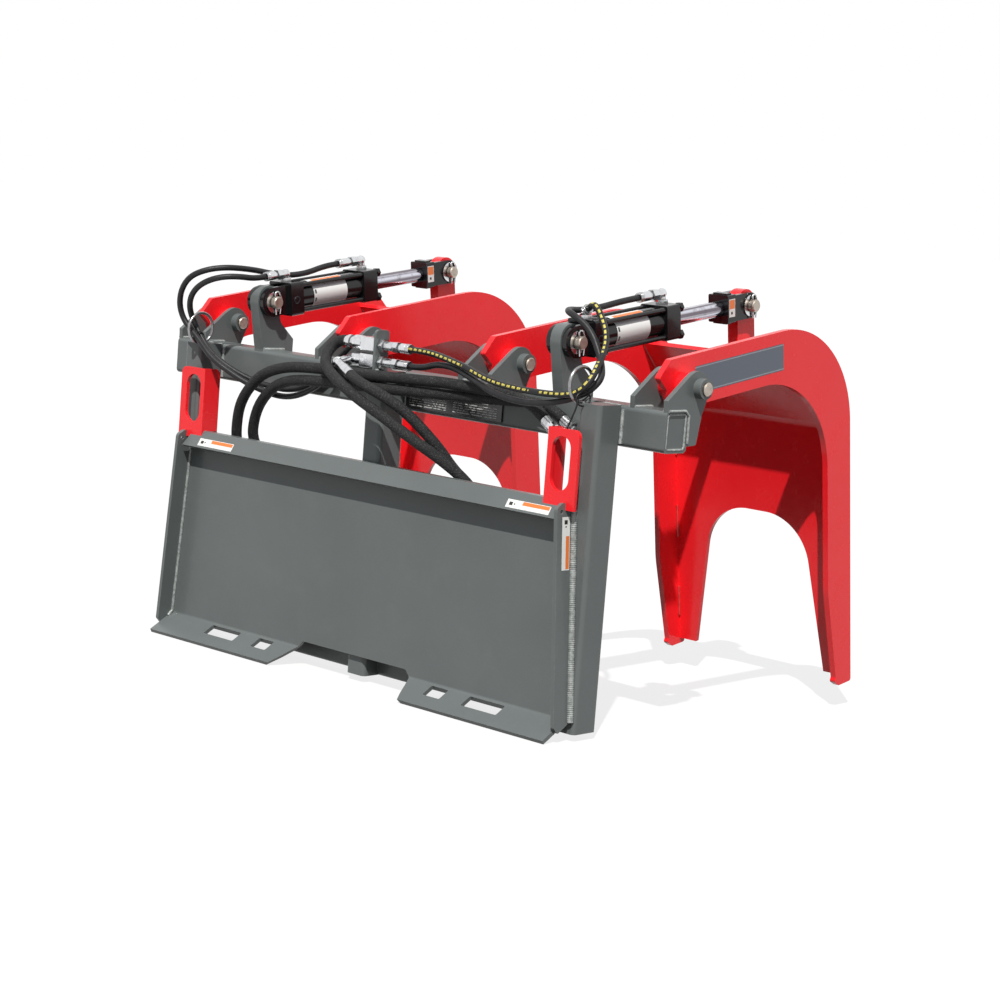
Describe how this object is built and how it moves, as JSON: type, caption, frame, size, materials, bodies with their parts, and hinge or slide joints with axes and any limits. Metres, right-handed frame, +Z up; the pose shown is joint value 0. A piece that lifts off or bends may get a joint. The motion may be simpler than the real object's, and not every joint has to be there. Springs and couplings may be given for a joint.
{
  "type": "skid steer grapple",
  "caption": "Skid steer grapple with a quick attach plate and two hinged arched claws, each closed by its own hydraulic cylinder.",
  "frame": {"origin": "middle of the footprint, on the ground under the lowest edge of the attach plate", "axes": "+X across the machine, +Y from the attach plate towards the claws, +Z up"},
  "size_m": [1.419, 0.8563, 0.8315],
  "materials": {
    "dark_grey_paint": "satin",
    "grey_paint": "satin",
    "red_paint": "gloss",
    "black_paint": "gloss",
    "chrome_rod": "polished",
    "pin_steel": "satin",
    "zinc_plate": "satin",
    "label_film": "matt",
    "hose_rubber": "matt"
  },
  "bodies": {
    "frame": {"base_pin_left": "pin_steel", "base_pin_right": "pin_steel", "base_retainers_left": "zinc_plate", "base_retainers_right": "zinc_plate", "coupler_bracket": "grey_paint", "coupling_lower": "zinc_plate", "coupling_upper": "zinc_plate", "cross_tube": "grey_paint", "cylinder_lug_left": "grey_paint", "cylinder_lug_right": "grey_paint", "feed_end_fittings": "zinc_plate", "handle_bracket_left": "red_paint", "handle_bracket_right": "red_paint", "hose_cylinder_base_left": "hose_rubber", "hose_cylinder_base_right": "hose_rubber", "hose_cylinder_head_left": "hose_rubber", "hose_cylinder_head_right": "hose_rubber", "hose_feed_lower": "hose_rubber", "hose_feed_upper": "hose_rubber", "hose_rings": "grey_paint", "label_plate": "label_film", "pivot_ears_left": "grey_paint", "pivot_ears_right": "grey_paint", "pivot_pins": "pin_steel", "post_centre": "grey_paint", "post_left": "grey_paint", "post_right": "grey_paint", "quick_attach_plate": "dark_grey_paint", "side_plate_left": "dark_grey_paint", "side_plate_right": "dark_grey_paint", "tie_bars": "grey_paint", "tube_end_caps": "grey_paint"},
    "claw_left": {"arm_plate_left_inner": "red_paint", "arm_plate_left_outer": "red_paint", "pivot_hubs_left": "red_paint", "rod_tab_left": "red_paint", "web_plate_left": "red_paint"},
    "barrel_left": {"cylinder_barrel_left": "black_paint", "cylinder_base_cap_left": "black_paint", "cylinder_head_cap_left": "black_paint", "cylinder_tie_rods_left": "black_paint", "port_elbows_left": "zinc_plate"},
    "rod_left": {"cylinder_rod_left": "chrome_rod", "rod_clevis_left": "black_paint", "rod_pin_left": "pin_steel", "rod_retainers_left": "zinc_plate"},
    "claw_right": {"arm_plate_right_inner": "red_paint", "arm_plate_right_outer": "red_paint", "pivot_hubs_right": "red_paint", "rod_tab_right": "red_paint", "web_plate_right": "red_paint"},
    "barrel_right": {"cylinder_barrel_right": "black_paint", "cylinder_base_cap_right": "black_paint", "cylinder_head_cap_right": "black_paint", "cylinder_tie_rods_right": "black_paint", "port_elbows_right": "zinc_plate"},
    "rod_right": {"cylinder_rod_right": "chrome_rod", "rod_clevis_right": "black_paint", "rod_pin_right": "pin_steel", "rod_retainers_right": "zinc_plate"}
  },
  "joints": [
    {"name": "claw_hinge_left", "type": "hinge", "parent": "frame", "child": "claw_left", "pos_m": [-0.42475, -0.20459, 0.6622], "axis": [1, 0, 0], "range_deg": [-15, 35]},
    {"name": "barrel_hinge_left", "type": "hinge", "parent": "frame", "child": "barrel_left", "pos_m": [-0.42475, -0.27989, 0.722], "axis": [1, 0, 0], "range_deg": [-13.54, 31.46], "deforming": ["hose_cylinder_base_left", "hose_cylinder_head_left"]},
    {"name": "rod_slide_left", "type": "slide", "parent": "barrel_left", "child": "rod_left", "axis": [0, 0.9888, 0.1495], "range_m": [-0.04795, 0.02066]},
    {"name": "claw_hinge_right", "type": "hinge", "parent": "frame", "child": "claw_right", "pos_m": [0.42475, -0.20459, 0.6622], "axis": [1, 0, 0], "range_deg": [-15, 35]},
    {"name": "barrel_hinge_right", "type": "hinge", "parent": "frame", "child": "barrel_right", "pos_m": [0.42475, -0.27989, 0.722], "axis": [1, 0, 0], "range_deg": [-13.54, 31.46], "deforming": ["hose_cylinder_base_right", "hose_cylinder_head_right"]},
    {"name": "rod_slide_right", "type": "slide", "parent": "barrel_right", "child": "rod_right", "axis": [0, 0.9888, 0.1495], "range_m": [-0.04795, 0.02066]}
  ],
  "couplings": [
    {"joint": "barrel_hinge_left", "follows": "claw_hinge_left", "ratio": 0.8961},
    {"joint": "rod_slide_left", "follows": "claw_hinge_left", "m_per_rad": -0.07817},
    {"joint": "barrel_hinge_right", "follows": "claw_hinge_right", "ratio": 0.8961},
    {"joint": "rod_slide_right", "follows": "claw_hinge_right", "m_per_rad": -0.07817}
  ]
}
